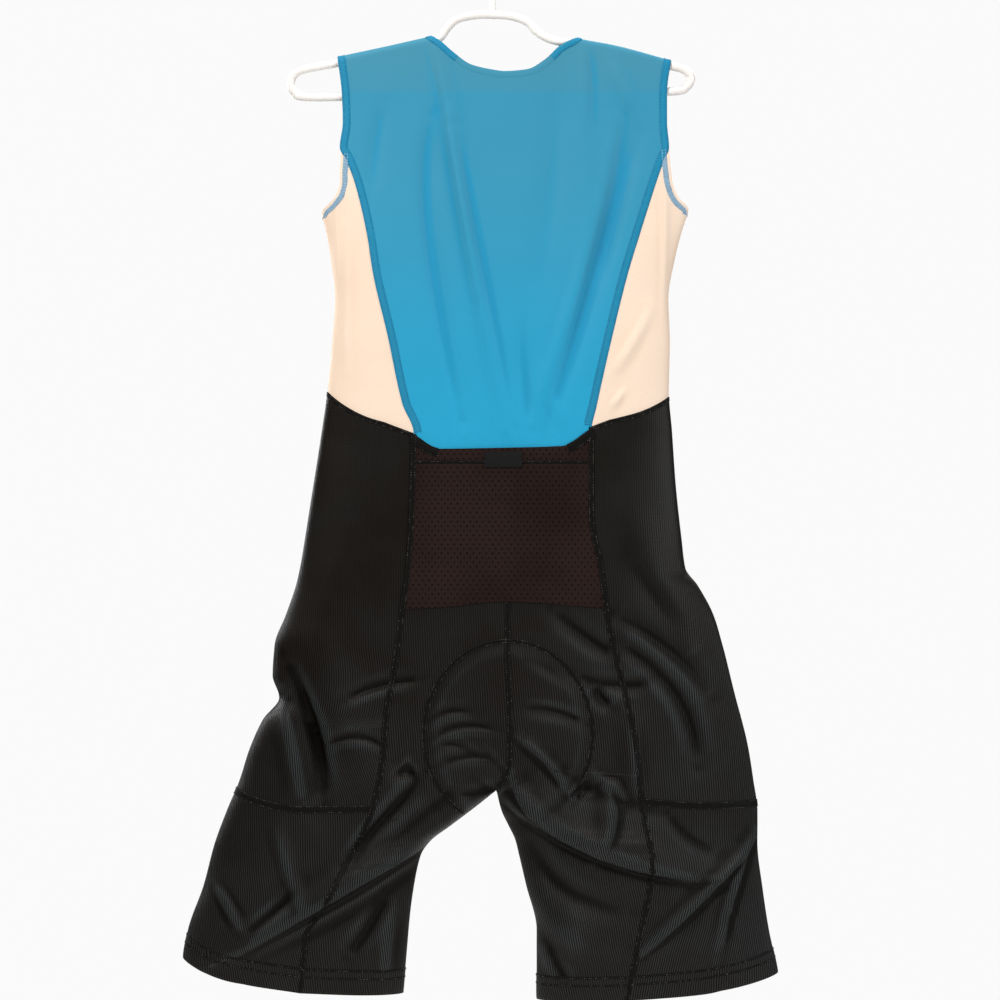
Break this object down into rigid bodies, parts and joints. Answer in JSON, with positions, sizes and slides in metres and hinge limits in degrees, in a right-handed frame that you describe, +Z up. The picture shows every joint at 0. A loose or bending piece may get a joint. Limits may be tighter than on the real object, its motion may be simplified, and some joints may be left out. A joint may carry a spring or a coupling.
{
  "type": "cycling skinsuit on a hanger",
  "caption": "Sleeveless one-piece cycling skinsuit with short legs and a rear pocket, hung flat on a tubular plastic hanger.",
  "frame": {"origin": "the inside of the top of the hanger's hook, where a rail of 36 mm or less carries it", "axes": "+Z up; +Y towards the garment's front, so its back faces -Y; +X to the right as seen from behind"},
  "size_m": [0.611, 0.0581, 1.0988],
  "materials": {
    "blue_cloth": "smooth warp knit, slight sheen",
    "cream_cloth": "smooth warp knit, matt",
    "ribbed_cloth": "fine ribbed knit with a soft sheen",
    "black_cloth": "smooth warp knit with a soft sheen",
    "mesh_cloth": "knitted mesh, matt",
    "woven_label": "close satin weave, blank",
    "zip_coil": "nylon coil on a woven tape",
    "coated_metal": "black coated, satin",
    "white_plastic": "moulded, satin gloss"
  },
  "bodies": {
    "garment": {"hanger": "white_plastic", "back_panel": "blue_cloth", "front_panel_left": "blue_cloth", "front_panel_right": "blue_cloth", "side_panel_left": "cream_cloth", "side_panel_right": "cream_cloth", "hip_panel_left": "ribbed_cloth", "hip_panel_right": "ribbed_cloth", "lower_leg_left": "ribbed_cloth", "lower_leg_right": "ribbed_cloth", "seat_left": "black_cloth", "seat_right": "black_cloth", "shorts_front_left": "black_cloth", "shorts_front_right": "black_cloth", "pocket": "mesh_cloth", "label": "woven_label", "zip": "zip_coil", "zip_slider": "coated_metal"},
    "pull_tab": {"pull_tab": "coated_metal"}
  },
  "joints": [
    {"name": "pull_tab_hinge", "type": "hinge", "parent": "garment", "child": "pull_tab", "pos_m": [0.013, 0.01279, -0.186], "axis": [1, 0, 0], "range_deg": [0, 165]}
  ]
}
